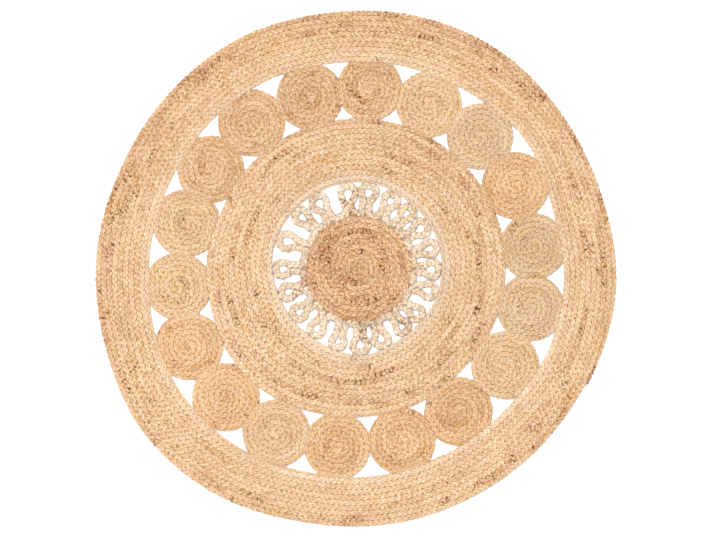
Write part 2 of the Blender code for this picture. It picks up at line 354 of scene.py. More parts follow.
def strandMesh(rings, closed, sides):
    # one strand as points, faces, and for each face's corners the place along and round the strand
    middles, halfWide, halfThick, across, upward, place, colours = rings
    count = len(middles)
    around = sideAngles(sides)
    wide = np.cos(around)[None, :, None] * np.reshape(halfWide, (-1, 1, 1)) * across[:, None, :]
    thick = np.sin(around)[None, :, None] * np.reshape(halfThick, (-1, 1, 1)) * upward[:, None, :]
    points = (middles[:, None, :] + wide + thick).reshape(-1, 3)
    last = count if closed else count - 1
    i, j = np.meshgrid(np.arange(last), np.arange(sides), indexing="ij")
    i = i.ravel()
    j = j.ravel()
    ahead = (i + 1) % count
    beside = (j + 1) % sides
    faces = np.stack([i * sides + j, ahead * sides + j, ahead * sides + beside, i * sides + beside], axis=1)
    places = np.append(place, place[-1] + place[1] - place[0])
    low, high = places[i], places[i + 1]
    corners = np.stack(
        [
            np.stack([low, high, high, low], axis=1) * mm,
            np.stack([j, j, j + 1, j + 1], axis=1) / sides,
        ],
        axis=2,
    )
    spread = {}
    for label, values in colours.items():
        spread[label] = np.broadcast_to(values.reshape(count, -1), (count, sides)).ravel()
    return points, faces, corners, spread


bakeSheet = {
    "ringShape": 3.45 / 19,  # a ring's length along the strand over the way round it
    "used": 0.84,  # of a shelf's height, so that the shelves stay apart
    "capsUsed": 0.9,  # of the shelf along the top, which the strands' cut ends get
    "capWide": 0.09,  # half a cut end's width and height, as shares of that shelf's height
    "capTall": 0.3,
    "capsApart": 0.4,  # and the most that its width is of its own share of the shelf's length
}


def bakeStrips(ringCount, sides):
    # the strips of strand side by side in a square, for pictures that are baked from the material,
    # and how far up the square the cut ends' own shelf begins
    rows = max(int(np.sqrt(ringCount * bakeSheet["ringShape"])), 1)
    perRow = int(np.ceil(ringCount / rows))
    ring, side = np.meshgrid(np.arange(ringCount), np.arange(sides), indexing="ij")
    shelf = 1 / (rows + 1)
    used = bakeSheet["used"]
    left = (ring % perRow) / perRow
    right = left + 1 / perRow
    low = (ring // perRow + (1 - used) / 2 + used * side / sides) * shelf
    high = low + used / sides * shelf
    u = np.stack([left, right, right, left], axis=2)
    v = np.stack([low, low, high, high], axis=2)
    return np.stack([u, v], axis=3), 1 - shelf * bakeSheet["capsUsed"]


def joinStrands(name, strands):
    # one object of many strands: each has its rings, its row in the noises, whether it is closed, and
    # how many sides it has
    points, faces, corners, strips, colours, ends = [], [], [], [], [], []
    ringCount = sum(len(rings[0]) - (not closed) for rings, noiseRow, closed, sides in strands)
    grid, capShelf = bakeStrips(ringCount, plait["sides"])
    start = 0
    ringStart = 0
    for rings, noiseRow, closed, sides in strands:
        own, ownFaces, ownCorners, ownColours = strandMesh(rings, closed, sides)
        ringEnd = ringStart + len(ownFaces) // sides
        points.append(own)
        faces += (ownFaces + start).tolist()
        corners.append(ownCorners.reshape(-1, 2) + [0, noiseRow])
        strips.append(grid[ringStart:ringEnd, :sides].reshape(-1, 2))
        colours.append(ownColours)
        if not closed:
            ring = np.arange(sides)
            ends += [start + ring, start + len(own) - 1 - ring]
        start += len(own)
        ringStart = ringEnd
    capWide = min(bakeSheet["capWide"] * (1 - capShelf), bakeSheet["capsApart"] / max(len(ends), 1))
    capTall = bakeSheet["capTall"] * (1 - capShelf)
    for k, end in enumerate(ends):
        angles = 2 * np.pi * np.arange(len(end)) / len(end)
        shape = np.stack([capWide * np.cos(angles), capTall * np.sin(angles)], axis=1)
        strips.append(shape + [(k + 0.5) / len(ends), (1 + capShelf) / 2])
        corners.append(np.zeros((len(end), 2)) + [0, 0.5])
        faces.append(end.tolist())
    points = np.concatenate(points)
    points[:, :2] += rugMiddle
    piece = addPiece(name, (points * mm).tolist(), faces)
    mesh = piece.data
    for label, places in (("along", corners), ("OFBake", strips)):
        mesh.uv_layers.new(name=label).uv.foreach_set("vector", np.concatenate(places).ravel())
    for label in ("tone", "bark", "cream"):
        values = np.concatenate([own[label] for own in colours])
        mesh.attributes.new(label, "FLOAT", "POINT").data.foreach_set("value", values)
    mesh.shade_smooth()
    return piece


def makePlait(name, line, numbers, seed, look, closed=False, stitch=plait["stitch"], loose=()):
    # an object of whole strands laid along one line, and the loose fibres on them
    strands = []
    for number in numbers:
        rings = strandRings(line, number, seed, closed, stitch, look)
        noiseRow = number + plait["strands"] * (seed % plait["different"])
        strands.append((rings, noiseRow, closed, plait["sides"]))
    return joinStrands(name, strands + list(loose))


fuzz = {
    "apart": 5.0,  # millimetres of rim to one loose fibre
    "shortest": 4.0,
    "longest": 11.0,
    "thick": 0.4,  # a real jute fibre is a fifth of this and wouldn't show
    "fan": 1.4,  # how far it may lean from straight out, and then bend, in radians
    "bend": 1.2,
    "rootedIn": (1.5, 3.5),
    "lowest": 3.0,  # where the lowest start above the floor
    "heights": 3.5,
    "rise": (-2.5, 0.8),
    "taper": 0.6,  # how much thinner the tip is
    "tones": 0.2,  # how much paler or deeper one may be
    "cream": 0.35,
    "different": 90,  # so many have streaks of their own
    "segments": 3,
    "sides": 3,
}


def looseFibres(rim, outward, seed, count=None, cream=fuzz["cream"], height=fuzz["lowest"]):
    # fibre ends that stand out along a rim: each starts in the braid, leans out and bends
    generator = np.random.default_rng(seed)
    if count is None:
        count = int(np.linalg.norm(np.diff(rim, axis=0), axis=1).sum() / fuzz["apart"])
    steps = np.linspace(0, 1, fuzz["segments"] + 1)
    fibres = []
    for k in generator.integers(0, len(rim), count):
        length = generator.uniform(fuzz["shortest"], fuzz["longest"])
        heading = np.arctan2(outward[k, 1], outward[k, 0]) + generator.uniform(-fuzz["fan"], fuzz["fan"])
        heading = heading + generator.uniform(-fuzz["bend"], fuzz["bend"]) * steps
        ahead = np.stack([np.cos(heading), np.sin(heading)], axis=1)
        root = rim[k] - outward[k] * generator.uniform(*fuzz["rootedIn"])
        flat = root + np.cumsum(ahead, axis=0) * length / fuzz["segments"]
        rise = generator.uniform(height, height + fuzz["heights"])
        rise = rise + steps * generator.uniform(*fuzz["rise"])
        across = np.column_stack([-ahead[:, 1], ahead[:, 0], 0 * steps])
        upward = np.zeros_like(across) + [0, 0, 1]
        half = fuzz["thick"] / 2 * (1 - fuzz["taper"] * steps)
        tone = generator.uniform(-fuzz["tones"], fuzz["tones"]) + 0 * steps
        colours = {"tone": tone, "bark": 0 * steps, "cream": cream + 0 * steps}
        rings = (np.column_stack([flat, rise]), half, half, across, upward, steps * length, colours)
        fibres.append((rings, generator.integers(0, fuzz["different"]), False, fuzz["sides"]))
    return fibres


ground = {
    "low": 1.2,  # heights of its underside and top
    "high": 3.9,
    "inset": 2.2,  # how far it stays inside a free rim
    "meeting": -0.9,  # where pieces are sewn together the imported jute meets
    # deeper than the strands' jute: painted shade where the sheet shows between the strands
    "pale": "#c39d70",
    "deep": "#946a3f",
    "tangle": 3.0,  # coarser than the fibres, so that it shows
    "bump": 0.4,
}


def makeGround(name, outside, inside=None):
    # the imported jute under the strands, a flat closed sheet between two lines; its deeper colour is
    # painted shade where it shows between the strands
    count = len(outside)
    middle = outside.mean(axis=0)
    lines = [outside, inside] if inside is not None else [outside]
    points = []
    for height in (ground["high"], ground["low"]):
        for line in lines:
            points.append(np.column_stack([line + rugMiddle, np.full(count, height)]))
    if inside is None:
        for height in (ground["high"], ground["low"]):
            points.append([[*(middle + rugMiddle), height]])
    points = np.concatenate(points)
    i = np.arange(count)
    j = (i + 1) % count
    if inside is None:
        faces = np.stack([i, i + count, j + count, j], axis=1).tolist()
        faces += np.stack([i, j, 0 * i + 2 * count], axis=1).tolist()
        faces += np.stack([j + count, i + count, 0 * i + 2 * count + 1], axis=1).tolist()
    else:
        corner = [0, 2 * count, 3 * count, count]
        faces = []
        for a, b in zip(corner, corner[1:] + corner[:1]):
            faces += np.stack([i + a, i + b, j + b, j + a], axis=1).tolist()
    return addPiece(name, (points * mm).tolist(), faces)


def linear(hexColour):
    # an sRGB hex colour as linear red, green and blue
    values = [int(hexColour[k : k + 2], 16) / 255 for k in (1, 3, 5)]
    return (*[v / 12.92 if v <= 0.04045 else ((v + 0.055) / 1.055) ** 2.4 for v in values], 1.0)


def clearMaterial(name):
    material = bpy.data.materials.new(name)
    material.use_nodes = True
    material.node_tree.nodes.clear()
    return material


def addNode(material, kind, inputs=None, **settings):
    # one node with its settings; an input is a value, an output, or a node for its first output
    node = material.node_tree.nodes.new("ShaderNode" + kind)
    for name, value in settings.items():
        setattr(node, name, value)
    for key, value in (inputs or {}).items():
        if isinstance(value, bpy.types.Node):
            value = value.outputs[0]
        if isinstance(value, bpy.types.NodeSocket):
            material.node_tree.links.new(value, node.inputs[key])
        else:
            node.inputs[key].default_value = value
    return node


def setStops(ramp, stops):
    # the places and colours of a colour ramp, which starts with two
    elements = ramp.color_ramp.elements
    for k, (place, hexColour) in enumerate(stops):
        element = elements[k] if k < len(elements) else elements.new(place)
        element.position = place
        element.color = linear(hexColour)


noiseRange = (0.3, 0.7)  # where nearly all of a noise's values are

fibre = {
    "streak": 2.2,  # real fibres are 0.1 mm thick and wouldn't show, so these are bundles
    "streakLong": 9.0,
    "clump": 6.0,
    "patch": 170.0,
    "hue": 55.0,
    "twist": 14.0,  # degrees that the fibres lean from the strand's own way
    "strandRound": 15.5,  # the way round a strand
    "strandStep": 9.7,  # from one strand's row in the noises to the next
    "clumpTone": 0.6,  # how much clumps and patches count in the tone, beside the streaks
    "patchTone": 0.25,
    "shades": (0.1, 0.5, 0.9),  # the tones that are deep, main and pale
    "patchHue": 1.3,  # how much patches count in the hue, beside its own noise
    "hues": ((0.4, "#fff4da"), (0.55, "#ffffff"), (0.675, "#fff3ea"), (0.775, "#efece6")),
    "bleached": "#e0d5c2",
    "runBark": 0.28,  # how much a barky stretch counts, beside the flecks' own noise
    # a barky place is rusty first and dark brown in its middle
    "flecks": (
        {"colour": "#b4743c", "from": 0.8, "to": 0.92, "sooner": 0.08, "covers": 0.6},
        {"colour": "#583317", "from": 0.89, "to": 0.93, "sooner": 0.06, "covers": 0.95},
    ),
    "clumpBump": 0.5,  # how much clumps count in the relief, beside the streaks
    "bump": 0.35,
    "ior": 1.53,  # cellulose
}


def spunJute(name, jute):
    # jute is a retted bast fibre, here undyed, loosely spun and plaited
    # it looks matt and dry, straw to golden, streaked along the strand, with rusty and dark bark flecks
    # each piece's jute is given by three colours, how streaky and barky it is, and a seed
    pale, main, deep, streaky, barky, seed = jute
    material = clearMaterial(name)
    where = addNode(material, "UVMap", uv_map="along")
    parts = addNode(material, "SeparateXYZ", {0: where})
    length, side = parts.outputs[0], parts.outputs[1]
    lean = np.tan(np.radians(fibre["twist"])) / (fibre["strandRound"] * mm)
    leaning = addNode(material, "Math", {0: length, 1: lean}, operation="MULTIPLY")
    around = addNode(material, "Math", {0: side, 1: leaning}, operation="ADD")
    angle = addNode(material, "Math", {0: around, 1: 2 * np.pi}, operation="MULTIPLY")
    cosine = addNode(material, "Math", {0: angle}, operation="COSINE")
    sine = addNode(material, "Math", {0: angle}, operation="SINE")
    across = addNode(material, "CombineXYZ", {0: cosine, 1: sine})
    streaksAcross = fibre["strandRound"] / (2 * np.pi) / fibre["streak"]
    across = addNode(material, "VectorMath", {0: across, 1: (streaksAcross,) * 3}, operation="MULTIPLY")
    strand = addNode(material, "Math", {0: side}, operation="FLOOR")
    far = addNode(
        material,
        "Math",
        {0: strand, 1: fibre["strandStep"], 2: seed},
        operation="MULTIPLY_ADD",
    )
    places = {}
    for size in ("streakLong", "clump", "patch"):
        places[size] = addNode(
            material,
            "Math",
            {0: length, 1: 1 / (fibre[size] * mm), 2: far},
            operation="MULTIPLY_ADD",
        )
    ahead = addNode(material, "CombineXYZ", {2: places["streakLong"]})
    place = addNode(material, "VectorMath", {0: across, 1: ahead}, operation="ADD")
    streaks = addNode(
        material,
        "TexNoise",
        {"Vector": place, "Scale": 1.0, "Detail": 3.0, "Roughness": 0.6},
    )
    clumps, patches = (
        addNode(
            material,
            "TexNoise",
            {"W": places[size], "Scale": 1.0, "Detail": 2.0},
            noise_dimensions="1D",
        )
        for size in ("clump", "patch")
    )
    # the laid tone holds the jute's own tone together with painted shade where strands dive under and
    # painted shadow along the rows' edges
    laid = addNode(material, "Attribute", attribute_name="tone")
    shares = ((streaks, streaky), (clumps, fibre["clumpTone"]), (patches, fibre["patchTone"]))
    extra = (sum(share for noise, share in shares) - 1) / 2  # the noises are 0.5 on average
    tone = addNode(material, "Math", {0: laid.outputs["Fac"], 1: extra}, operation="SUBTRACT")
    for noise, share in shares:
        tone = addNode(material, "Math", {0: noise, 1: share, 2: tone}, operation="MULTIPLY_ADD")
    shade = addNode(material, "ValToRGB", {0: tone})
    setStops(shade, zip(fibre["shades"], (deep, main, pale)))
    body = addNode(material, "TexCoord")
    hues = addNode(
        material,
        "TexNoise",
        {"Vector": body.outputs["Object"], "Scale": 1 / (fibre["hue"] * mm), "Detail": 2.0},
    )
    hues = addNode(
        material,
        "Math",
        {0: patches, 1: fibre["patchHue"], 2: hues},
        operation="MULTIPLY_ADD",
    )
    hues = addNode(material, "Math", {0: hues, 1: 2.0}, operation="DIVIDE")  # a ramp ends at 1
    tint = addNode(material, "ValToRGB", {0: hues})
    setStops(tint, fibre["hues"])
    shade = addNode(
        material,
        "Mix",
        {0: 1.0, 6: shade, 7: tint},
        data_type="RGBA",
        blend_type="MULTIPLY",
    )
    bleached = addNode(material, "Attribute", attribute_name="cream")
    shade = addNode(
        material,
        "Mix",
        {0: bleached.outputs["Fac"], 6: shade.outputs[2], 7: linear(fibre["bleached"])},
        data_type="RGBA",
    )
    bark = addNode(
        material,
        "TexNoise",
        {"W": places["clump"], "Scale": 0.9, "Detail": 3.0, "Roughness": 0.7},
        noise_dimensions="1D",
    )
    runs = addNode(material, "Attribute", attribute_name="bark")
    barkiness = addNode(
        material,
        "Math",
        {0: runs.outputs["Fac"], 1: fibre["runBark"], 2: bark},
        operation="MULTIPLY_ADD",
    )
    for fleck in fibre["flecks"]:
        low, high = (fleck[key] - fleck["sooner"] * barky for key in ("from", "to"))
        share = addNode(
            material,
            "MapRange",
            {"Value": barkiness, "From Min": low, "From Max": high, "To Max": fleck["covers"]},
        )
        shade = addNode(
            material,
            "Mix",
            {0: share, 6: shade.outputs[2], 7: linear(fleck["colour"])},
            data_type="RGBA",
        )
    low, high = noiseRange
    dryness = addNode(
        material,
        "MapRange",
        {"Value": streaks, "From Min": low, "From Max": high, "To Min": 0.96, "To Max": 0.78},
    )
    relief = addNode(
        material,
        "Math",
        {0: clumps, 1: fibre["clumpBump"], 2: streaks},
        operation="MULTIPLY_ADD",
    )
    bump = addNode(
        material,
        "Bump",
        {"Strength": 0.7, "Distance": fibre["bump"] * mm, "Height": relief},
    )
    shader = addNode(
        material,
        "BsdfPrincipled",
        {
            "Base Color": shade.outputs[2],
            "Roughness": dryness,
            "Normal": bump,
            "IOR": fibre["ior"],
            "Specular IOR Level": 0.25,
            "Sheen Weight": 0.12,
            "Sheen Roughness": 0.5,
        },
    )
    addNode(material, "OutputMaterial", {0: shader})
    return material


def paintedShadeJute(name, pale, deep):
    # the same fibre pressed together under the strands: a tangle given a deeper, duller brown as painted
    # shade, since little light reaches it
    material = clearMaterial(name)
    where = addNode(material, "TexCoord")
    tangle = addNode(
        material,
        "TexNoise",
        {
            "Vector": where.outputs["Object"],
            "Scale": 1 / (ground["tangle"] * mm),
            "Detail": 3.0,
            "Distortion": 1.5,
        },
    )
    shade = addNode(material, "ValToRGB", {0: tangle})
    setStops(shade, zip(noiseRange, (deep, pale)))
    bump = addNode(material, "Bump", {"Strength": 0.6, "Distance": ground["bump"] * mm, "Height": tangle})
    low, high = noiseRange
    dryness = addNode(
        material,
        "MapRange",
        {"Value": tangle, "From Min": low, "From Max": high, "To Min": 0.98, "To Max": 0.85},
    )
    shader = addNode(
        material,
        "BsdfPrincipled",
        {
            "Base Color": shade,
            "Roughness": dryness,
            "Normal": bump,
            "IOR": fibre["ior"],
            "Specular IOR Level": 0.2,
        },
    )
    addNode(material, "OutputMaterial", {0: shader})
    return material


groundShadeJute = paintedShadeJute("paintedShadeJute", ground["pale"], ground["deep"])


def layPiece(node, plaits, under, jute, underShadeJute=groundShadeJute):
    # the braid and its ground stand for the solid, ride on the rug and take its finish
    for piece in (*plaits, under):
        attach(piece, "root")
        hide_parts(node)
    for piece in plaits:
        piece.data.materials.append(jute)
    under.data.materials.append(underShadeJute)


def freeRim(bearing):
    return plait["tuck"] + 0 * bearing


def sewnRim(bearing):
    return ground["meeting"] + 0 * bearing


def lineFor(winding, lastRow, piece, tuckIn=freeRim, tuckOut=freeRim):
    turns = piece["firstTurn"], piece.get("lastTurn", piece["rows"])
    points, width, row = windBraid(winding, lastRow, *turns, tuckIn, tuckOut)
    return evenly(points, plait["stitch"] * plait["strands"] / plait["stations"], (width, row))


def innermost(turn):
    return 0 * turn


def layBand(name, band, winding, lastRow, line, loose):
    # a band's strands, each with its own loose fibres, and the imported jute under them
    strands = [
        makePlait(f"{name}Strand{n + 1}", line, [n], band["seed"], band["look"], loose=loose[n])
        for n in eachStrand
    ]
    outside = rimOf(winding, lastRow, ground["inset"], band["groundPoints"])
    inside = rimOf(winding, innermost, -ground["inset"], band["groundPoints"])
    under = makeGround(name + "Ground", outside, inside)
    layPiece(band["node"], strands, under, spunJute(name + "Jute", band["jute"]))
    print(name, "laid:", round(line[0][-1] * mm, 1), "m of braid")


# in a look, tone, bark and cream are values at some rows, counted from the inside
outerBand = {
    "node": "outer_band",
    "rims": (1, 0),  # which of the rims are its inside and its outside
    "start": 25.0,  # bearing where the braid comes up from under the first row
    "rows": 10.144,
    "firstTurn": 0.25,  # the stretch before this is hidden
    "endWidth": 0.5,  # the cut end is drawn in to this share of the braid's width
    "drawnIn": 0.12,  # over this much of a turn
    "width": 0.1165,  # metres, as a flat strip
    # pale, main and deep colour, how streaky, how barky, and seed
    "jute": ("#ebdac3", "#d3b48f", "#95633a", 1.15, 0.5, 3.0),
    "look": {
        "tone": {5: 0, 8: -0.03, 9: -0.03, 9.5: -0.07},
        "bark": {3: 0.35, 5: 0.75, 8: 1.05, 9: 1.15, 9.4: 1.5},
        "cream": {1: 0.16, 2: 0},  # the rows along the coils are bleached
        "deepAt": 110,  # the bearing round which the jute is deeper
        "deeper": 0.03,
        "frayed": 70,  # rusty jute before the cut end
    },
    "seed": 100,
    "tuft": {  # at the cut end
        "fibres": 60,
        "inward": 7,  # from the end of the braid's middle line
        "lean": 60,  # degrees clockwise from straight out
        "cream": 0.9,
        "height": 5.0,
        "seed": 91,
    },
    "rimPoints": 1440,  # where loose fibres may start
    "holePoints": 180,
    "groundPoints": 720,
}


def outerBandEnd(turn):
    # how many rows out the rim is: the cut end makes a step of half a row
    sinceEnd = (turn - outerBand["rows"]) % 1
    drawn = np.maximum(0, sinceEnd - 1 + outerBand["drawnIn"]) / outerBand["drawnIn"]
    return outerBand["rows"] - 1 + sinceEnd - (1 - outerBand["endWidth"]) * drawn


centreCoil = {
    "middle": (4.5, 1.5),  # from the middle that the bands are wound round
    "radius": 121.5,
    "rows": 10,
    "firstTurn": 0.62,
    "lastTurn": 10.85,
    "underLoops": 3,  # its packed jute reaches this far under the loops' feet
    "jute": ("#ebd4b8", "#c9a47e", "#81502a", 1.3, 0.65, 31.0),
    "look": {
        "tone": {0.5: -0.08, 2: 0, 7.5: 0.02, 10: -0.07},
        "bark": {0: 1.1},
        # painted shadow along the row's edges
        "paintedSeamShadow": 0.06,
        "deepAt": 225,
        "deeper": 0.01,
    },
    "seed": 300,
    "rimPoints": 240,
    "groundPoints": 120,
}

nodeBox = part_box("centre_coil")
rugMiddle = np.array([(nodeBox[0][axis] + nodeBox[1][axis]) / 2 / mm for axis in (0, 1)])
rugMiddle = rugMiddle - centreCoil["middle"]

winding = (0, 0), outerBand["start"], bandRadius(outerBand, outerBandEnd)
outerLine = lineFor(winding, outerBandEnd, outerBand, tuckIn=sewnRim)
outerRim = rimOf(winding, outerBandEnd, 0, outerBand["rimPoints"])
bandHole = rimOf(winding, innermost, 0, outerBand["holePoints"])
endBearing = outerBand["start"] - 360 * outerBand["rows"]
tuft = outerBand["tuft"]
oneEach = np.ones((tuft["fibres"], 1))
tuftFrom = outerLine[1][-1] + polar(endBearing, -tuft["inward"]) * oneEach
tuftTo = polar(endBearing - tuft["lean"], 1) * oneEach
tuftFibres = looseFibres(tuftFrom, tuftTo, tuft["seed"], tuft["fibres"], tuft["cream"], tuft["height"])
rimWays = leftOf(outerRim)
seed = outerBand["seed"]
loose = [
    tuftFibres + looseFibres(outerRim[::2], rimWays[::2], seed + 1),
    looseFibres(bandHole, -leftOf(bandHole), seed + 2),
    looseFibres(outerRim[1::2], rimWays[1::2], seed + 3),
]
layBand("outerBand", outerBand, winding, outerBandEnd, outerLine, loose)


innerBand = {
    "node": "inner_band",
    "rims": (3, 2),
    "start": 255.0,
    "rows": 12.25,
    "firstTurn": 0.25,
    "lastTurn": 13.1,
    "jute": ("#ebdac4", "#d2b490", "#956339", 1.15, 0.6, 11.0),
    "look": {
        "tone": {1.2: -0.07, 2.2: 0, 9: 0, 10: 0.02, 11: 0.01, 12: -0.03},
        "bark": {2: 0.5, 3: 0.9, 9: 0.9, 10: 0.65},
        "cream": {1.1: 0.4, 2.1: 0},  # the rows along the loops are bleached
        "deepAt": 45,
        "deeper": 0.025,
    },
    "seed": 200,
    "rimPoints": 180,
    "groundPoints": 360,
}


def innerBandEnd(turn):
    return innerBand["rows"] + 0 * turn


winding = (0, 0), innerBand["start"], bandRadius(innerBand, innerBandEnd)
innerLine = lineFor(winding, innerBandEnd, innerBand, tuckOut=sewnRim)
bandEdge = rimOf(winding, innerBandEnd, 0, innerBand["rimPoints"])
eyeRim = rimOf(winding, innermost, 0, innerBand["rimPoints"])
seed = innerBand["seed"]
loose = [
    looseFibres(eyeRim, -leftOf(eyeRim), seed + 1),
    looseFibres(bandEdge, leftOf(bandEdge), seed + 2),
    [],
]
layBand("innerBand", innerBand, winding, innerBandEnd, innerLine, loose)


def centreCoilEnd(turn):
    return centreCoil["rows"] + 0 * turn


def centreCoilOutline(bearing):
    return centreCoil["radius"] + 0 * bearing


radius = coilRadius(centreCoilOutline, centreCoil["radius"], centreCoil["rows"])
winding = centreCoil["middle"], 0, radius
line = lineFor(winding, centreCoilEnd, centreCoil, tuckOut=sewnRim)
rim = rimOf(winding, centreCoilEnd, 0, centreCoil["rimPoints"])
seed = centreCoil["seed"]
loose = looseFibres(rim, leftOf(rim), seed + 1)
strands = [makePlait("centreCoilPlait", line, eachStrand, seed, centreCoil["look"], loose=loose)]
outside = rimOf(winding, centreCoilEnd, -centreCoil["underLoops"], centreCoil["groundPoints"])
under = makeGround("centreCoilGround", outside)
jute = spunJute("centreCoilJute", centreCoil["jute"])
layPiece("centre_coil", strands, under, jute)
print("centre coil laid:", round(line[0][-1] * mm, 1), "m of braid")


loopedBraid = {
    "width": 14.4,
    "neckGap": 0.5,
    "standOff": -0.6,  # it is pressed against the bands it is sewn to
    "pressed": 1.28,  # and flattened to this many times its width
    "headOut": 190,  # where the bearing of a loop's head is taken
    "fullness": 1.3,
    "softening": 4,  # to each side, over which the braid rounds a corner
    "headPoints": 65,
    "betweenLoops": (0.25, 0.5, 0.75),  # shares of the way from one loop's foot to the next
    "sections": 3.6,  # millimetres from one section of a strand to the next
    "stitch": 12.5,
    "jute": ("#f0e7db", "#d6c5b0", "#a3886b", 1.6, 0.3, 23.0),
    # the packed jute under it, deeper than its strands: painted shade between them
    "under": ("#c6b094", "#96795a"),
    "underInset": 0.4,
    "look": {
        "tone": {8: -0.11, 22: -0.035},  # by millimetres out from the centre coil: deeper at the feet
        "bark": {0: 0.85},
        # painted shade where a strand dives under its neighbour
        "paintedDipShade": 0.19,
        "paintedSeamShadow": 0.05,
        # painted shadow along the row's edges
        "strandWide": 0.275,
    },
    "seed": 400,
    "cream": 0.6,  # of its loose fibres
    # bearings of each loop's head and neck, how far out the neck is, and the open space inside the loop
    "loops": [
        (359.9, 0.1, 156, 19),
        (15.7, 16.2, 157, 14),
        (32.1, 33.0, 159, 19),
        (48.0, 48.0, 159, 14),
        (63.1, 64.3, 161, 18),
        (80.5, 81.8, 162, 19),
        (95.9, 97.7, 155, 18),
        (120.0, 118.5, 157, 19),
        (136.6, 135.7, 158, 16),
        (158.9, 156.3, 151, 19),
        (180.9, 178.7, 153, 16),
        (198.6, 198.2, 150, 15),
        (217.4, 216.6, 150, 16),
        (236.6, 235.6, 149, 16),
        (255.8, 255.0, 158, 13),
        (272.8, 272.9, 158, 20),
        (289.4, 289.5, 154, 16),
        (308.2, 308.4, 155, 14),
        (323.9, 323.7, 156, 14),
        (344.0, 343.0, 156, 17),
    ],
}


def oneLoop(headBearing, neckBearing, neckOut, opening):
    # one loop from its first foot on the centre coil, round its head, to its last foot
    half = loopedBraid["width"] / 2
    neckHalf = half + loopedBraid["neckGap"] / 2
    hub = np.array(centreCoil["middle"])
    neck = polar(neckBearing, neckOut)
    up = unit(polar(headBearing, loopedBraid["headOut"]) - neck)
    side = np.array([up[1], -up[0]])
    height = reach(neck, up[None], eyeRim)[0] - loopedBraid["standOff"] - half
    angle = np.linspace(-np.pi, np.pi, loopedBraid["headPoints"])
    pinch = np.sin(angle / 2) ** 2
    drop = loopedBraid["fullness"] * np.sin(angle) * np.cos(angle / 2)
    across = (opening / 2 + half) * drop + np.copysign(neckHalf, angle) * pinch**2
    head = neck - across[:, None] * side + ((1 - pinch) * height)[:, None] * up
    outward = unit(neck - hub)
    foot = hub + outward * (centreCoil["radius"] + loopedBraid["standOff"] + half)
    alongCoil = np.array([outward[1], -outward[0]]) * neckHalf
    return [foot + alongCoil, *head, foot - alongCoil]


def loopLine():
    # the looped braid's middle line: loop after loop, and along the centre coil between them
    hub = np.array(centreCoil["middle"])
    ring = centreCoil["radius"] + loopedBraid["standOff"] + loopedBraid["width"] / 2
    line = [oneLoop(*loop) for loop in loopedBraid["loops"]]
    points = []
    for loop, following in zip(line, line[1:] + line[:1]):
        points += loop
        for share in loopedBraid["betweenLoops"]:
            point = loop[-1] * (1 - share) + following[0] * share
            points.append(hub + unit(point - hub) * ring)
    points = np.concatenate([points, points[:1]])
    along = np.concatenate([[0], np.cumsum(np.linalg.norm(np.diff(points, axis=0), axis=1))])
    even = np.arange(0, along[-1], 1.0)
    dense = np.stack([np.interp(even, along, points[:, k]) for k in (0, 1)], axis=1)
    return soften(dense, loopedBraid["softening"], closed=True)


points = loopLine()
width = np.full(len(points) + 1, loopedBraid["width"] * loopedBraid["pressed"] / plait["squeeze"])
out = np.linalg.norm(points - centreCoil["middle"], axis=1) - centreCoil["radius"]
line = evenly(points, loopedBraid["sections"], (width, np.append(out, out[0])), closed=True)
leftward = leftOf(line[1])
halfWidth = loopedBraid["width"] / 2
seed = loopedBraid["seed"]
loose = looseFibres(line[1] + leftward * halfWidth, leftward, seed + 1, cream=loopedBraid["cream"])
loose += looseFibres(line[1] - leftward * halfWidth, -leftward, seed + 2, cream=loopedBraid["cream"])
settings = {"closed": True, "stitch": loopedBraid["stitch"], "loose": loose}
strands = [makePlait("loopedBraidPlait", line, eachStrand, seed, loopedBraid["look"], **settings)]
halfUnder = halfWidth - loopedBraid["underInset"]
under = makeGround("loopedBraidGround", line[1] + leftward * halfUnder, line[1] - leftward * halfUnder)
jute = spunJute("loopedBraidJute", loopedBraid["jute"])
underShadeJute = paintedShadeJute("paintedShadeLoopJute", *loopedBraid["under"])
layPiece("looped_braid", strands, under, jute, underShadeJute)


smallCoil = {
    "rows": 6.3,
    "firstTurn": 0.6,
    "lastTurn": 7.15,
    "apart": 0.35,  # between a coil and what it is sewn to
    "endsApart": 67,  # degrees from where one coil's braid starts to where the next one's does
    "flatness": 1.5,  # for each millimetre that its neighbours press it in; at 1 it counts as sewn
    "outward": 0.3,  # how far its outermost row stands out, to meet what it is sewn to
    "facing": 0.2,  # a wall that is turned away further than this doesn't flatten a coil
    "outlineStep": 2.0,  # degrees
    "rounding": 3,  # steps to each side, over which a flat side turns into the round rim
    "rimPoints": 180,
    "groundPoints": 72,
    "pointsToFibre": 3,  # points of the free rim to one loose fibre
    "rimTone": 5,  # the row that has the tone of the rim
    # the look's seam value is painted shadow along the row's edges
    "look": {"bark": {0: 0.6}, "paintedSeamShadow": 0.08},
    "seed": 500,
    "seedStep": 20,
    "fibreSeed": 10,
    # pale, main and deep colour, how streaky, how barky, and seed
    "jute": {
        "greyish": ("#dfcbb3", "#c8ac8a", "#9a7652", 0.7, 0.0, 41.0),
        "pale": ("#e8d6bd", "#d1b490", "#9d734c", 0.8, 0.15, 53.0),
        "golden": ("#e8d2b4", "#cfac84", "#996a41", 0.9, 0.3, 47.0),
        "tan": ("#e6cfb3", "#c9a782", "#8c6139", 1.1, 0.5, 61.0),
    },
}

